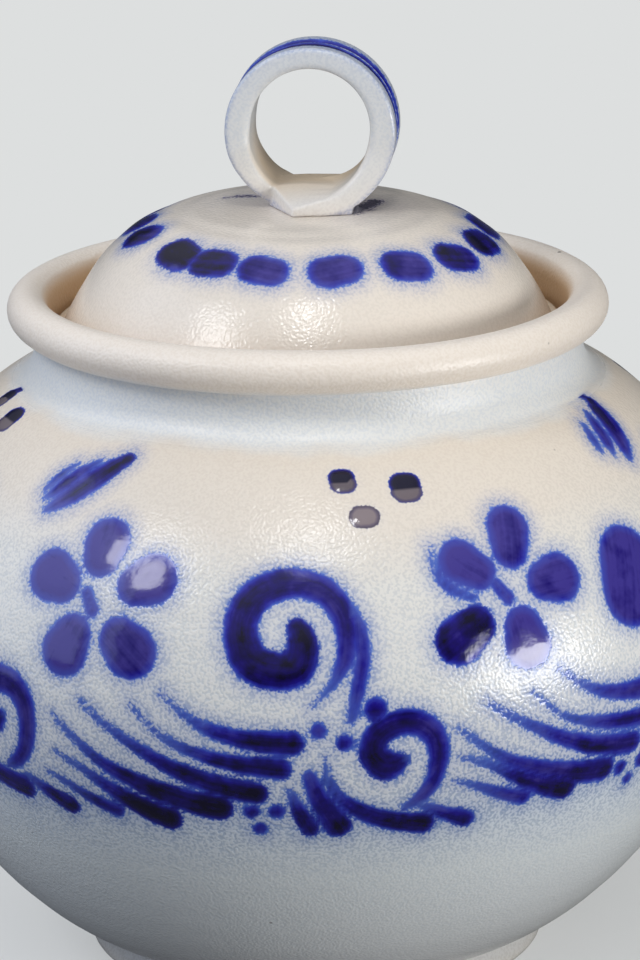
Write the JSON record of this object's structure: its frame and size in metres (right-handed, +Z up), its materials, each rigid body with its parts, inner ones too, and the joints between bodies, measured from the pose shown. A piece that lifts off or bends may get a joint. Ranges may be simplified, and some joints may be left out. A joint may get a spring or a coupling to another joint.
{
  "type": "lidded stoneware pot",
  "caption": "Round-bellied salt-glazed stoneware pot with cobalt brushwork, a rolled rim and a loose domed lid that lifts off by a grooved ring handle.",
  "frame": {"origin": "centre of the foot ring's underside, on the surface the pot stands on", "axes": "+Z up along the pot's axis, -Y towards the side seen in the picture, +X to the right of it"},
  "size_m": [0.272, 0.272, 0.287],
  "materials": {
    "pot_glaze": "salt-glazed grey-cream stoneware with an orange-peel skin and cobalt brushwork",
    "foot_glaze": "salt-glazed grey stoneware, wiped where it stands",
    "lid_glaze": "salt-glazed cream stoneware with a ring of cobalt dots",
    "handle_glaze": "salt-glazed pale stoneware with cobalt in the grooves of the strap"
  },
  "bodies": {
    "pot": {"pot_body": "pot_glaze", "foot_ring": "foot_glaze"},
    "lid": {"lid": "lid_glaze", "ring_handle": "handle_glaze"}
  },
  "joints": [
    {"name": "lid_lift", "type": "slide", "parent": "pot", "child": "lid", "axis": [0, 0, 1], "range_m": [0, 0.12]}
  ]
}
